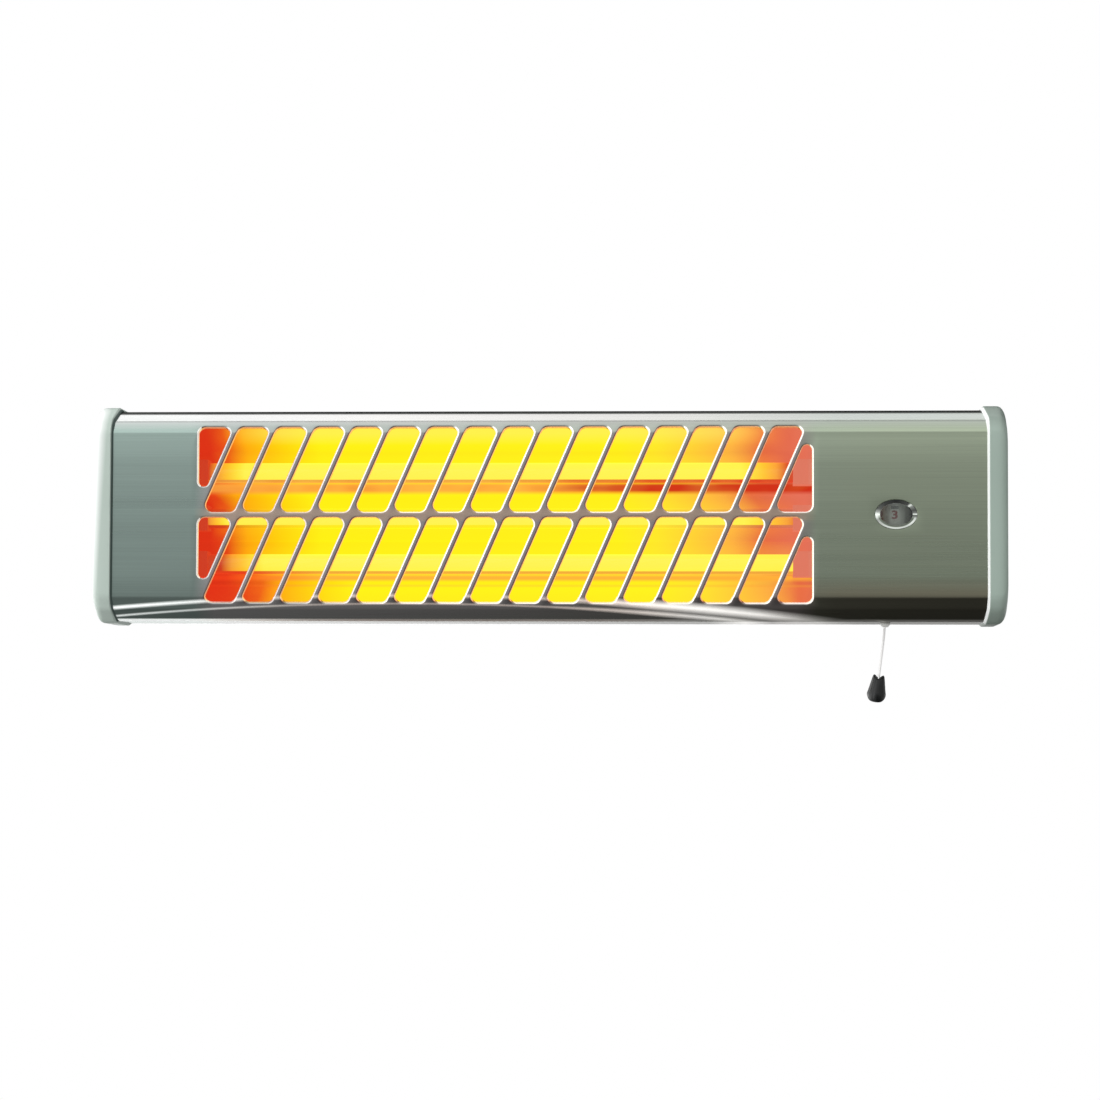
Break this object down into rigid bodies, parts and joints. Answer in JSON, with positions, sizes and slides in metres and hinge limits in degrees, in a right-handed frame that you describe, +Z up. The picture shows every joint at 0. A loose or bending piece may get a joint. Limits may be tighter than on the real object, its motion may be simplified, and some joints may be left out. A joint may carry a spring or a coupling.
{
  "type": "wall-mounted quartz tube heater",
  "caption": "Long wall heater with glowing quartz tubes behind a slanted-slot brushed steel front, grey end caps, tilting wall brackets and a pull-cord switch with an indicator window.",
  "frame": {"origin": "centre of the four wall screws, on the wall's surface", "axes": "+X to the right along the heater, +Y into the wall, so the front looks towards -Y, +Z up"},
  "size_m": [0.54, 0.1064, 0.1749],
  "materials": {
    "brushed_case": "fine horizontal brushing",
    "cap_plastic": "satin moulded grey",
    "zinc_steel": "galvanised",
    "bracket_steel": "pale powder coat",
    "zinc_fasteners": "zinc plated",
    "reflector_aluminium": "polished",
    "quartz": "clear fused quartz",
    "heating_wire": "glowing resistance wire",
    "ceramic_white": "unglazed",
    "brass": "bright",
    "wire_sleeve_brown": "sleeved",
    "wire_sleeve_blue": "sleeved",
    "wire_sleeve_green": "sleeved",
    "black_plastic": "moulded",
    "white_plastic": "moulded",
    "clear_plastic": "clear moulded lens",
    "cord_braid": "thin braided cord"
  },
  "bodies": {
    "wall_mount": {"wall_bracket_left": "bracket_steel", "wall_bracket_right": "bracket_steel"},
    "heater": {"front_panel": "brushed_case", "end_cap_left": "cap_plastic", "end_cap_right": "cap_plastic", "end_cap_screws": "zinc_fasteners", "rear_cover": "zinc_steel", "rear_cover_screws": "zinc_fasteners", "hinge_lug_left": "zinc_steel", "hinge_lug_right": "zinc_steel", "lug_rivets": "zinc_fasteners", "pivot_pin_left": "zinc_fasteners", "pivot_pin_right": "zinc_fasteners", "clamp_stud_left": "zinc_fasteners", "clamp_stud_right": "zinc_fasteners", "clamp_washers": "zinc_fasteners", "reflector": "reflector_aluminium", "tube_bracket_left": "zinc_steel", "tube_bracket_right": "zinc_steel", "quartz_tube_top": "quartz", "quartz_tube_middle": "quartz", "quartz_tube_bottom": "quartz", "heating_coil_top": "heating_wire", "heating_coil_middle": "heating_wire", "heating_coil_bottom": "heating_wire", "ceramic_caps_left": "ceramic_white", "ceramic_caps_right": "ceramic_white", "lead_terminals": "brass", "bus_bar": "brass", "neutral_wire": "wire_sleeve_blue", "live_wire": "wire_sleeve_brown", "earth_wire": "wire_sleeve_green", "tube_wire_top": "wire_sleeve_brown", "tube_wire_middle": "wire_sleeve_brown", "tube_wire_bottom": "wire_sleeve_brown", "terminal_block": "white_plastic", "terminal_screws": "brass", "cable_gland": "black_plastic", "gland_nut": "black_plastic", "earth_screw": "brass", "thermal_cutout": "ceramic_white", "heat_shield": "zinc_steel", "switch_body": "black_plastic", "switch_bracket": "zinc_steel", "switch_screws": "zinc_fasteners", "switch_terminals": "brass", "cord_bushing": "white_plastic", "window_lens": "clear_plastic", "lens_retainer": "zinc_fasteners", "return_spring": "zinc_fasteners"},
    "pull": {"plunger": "white_plastic", "pull_cord": "cord_braid", "pull_knob": "black_plastic"},
    "wing_nut_left": {"wing_nut_left": "zinc_fasteners"},
    "wing_nut_right": {"wing_nut_right": "zinc_fasteners"},
    "indicator": {"indicator_drum": "white_plastic"}
  },
  "joints": [
    {"name": "tilt", "type": "hinge", "parent": "wall_mount", "child": "heater", "pos_m": [0, -0.022, 0], "axis": [1, 0, 0], "range_deg": [0, 30]},
    {"name": "wing_nut_left_turn", "type": "hinge", "parent": "heater", "child": "wing_nut_left", "pos_m": [-0.158, -0.022, 0.015], "axis": [1, 0, 0], "continuous": true},
    {"name": "wing_nut_right_turn", "type": "hinge", "parent": "heater", "child": "wing_nut_right", "pos_m": [0.158, -0.022, 0.015], "axis": [1, 0, 0], "continuous": true},
    {"name": "pull_slide", "type": "slide", "parent": "heater", "child": "pull", "axis": [0, 0, -1], "range_m": [0, 0.008], "stiffness_N_per_m": 600, "springref_m": -0.004, "deforming": ["return_spring"]},
    {"name": "indicator_turn", "type": "hinge", "parent": "heater", "child": "indicator", "pos_m": [0.2048, -0.0904, 0], "axis": [0, 0, 1], "continuous": true}
  ]
}
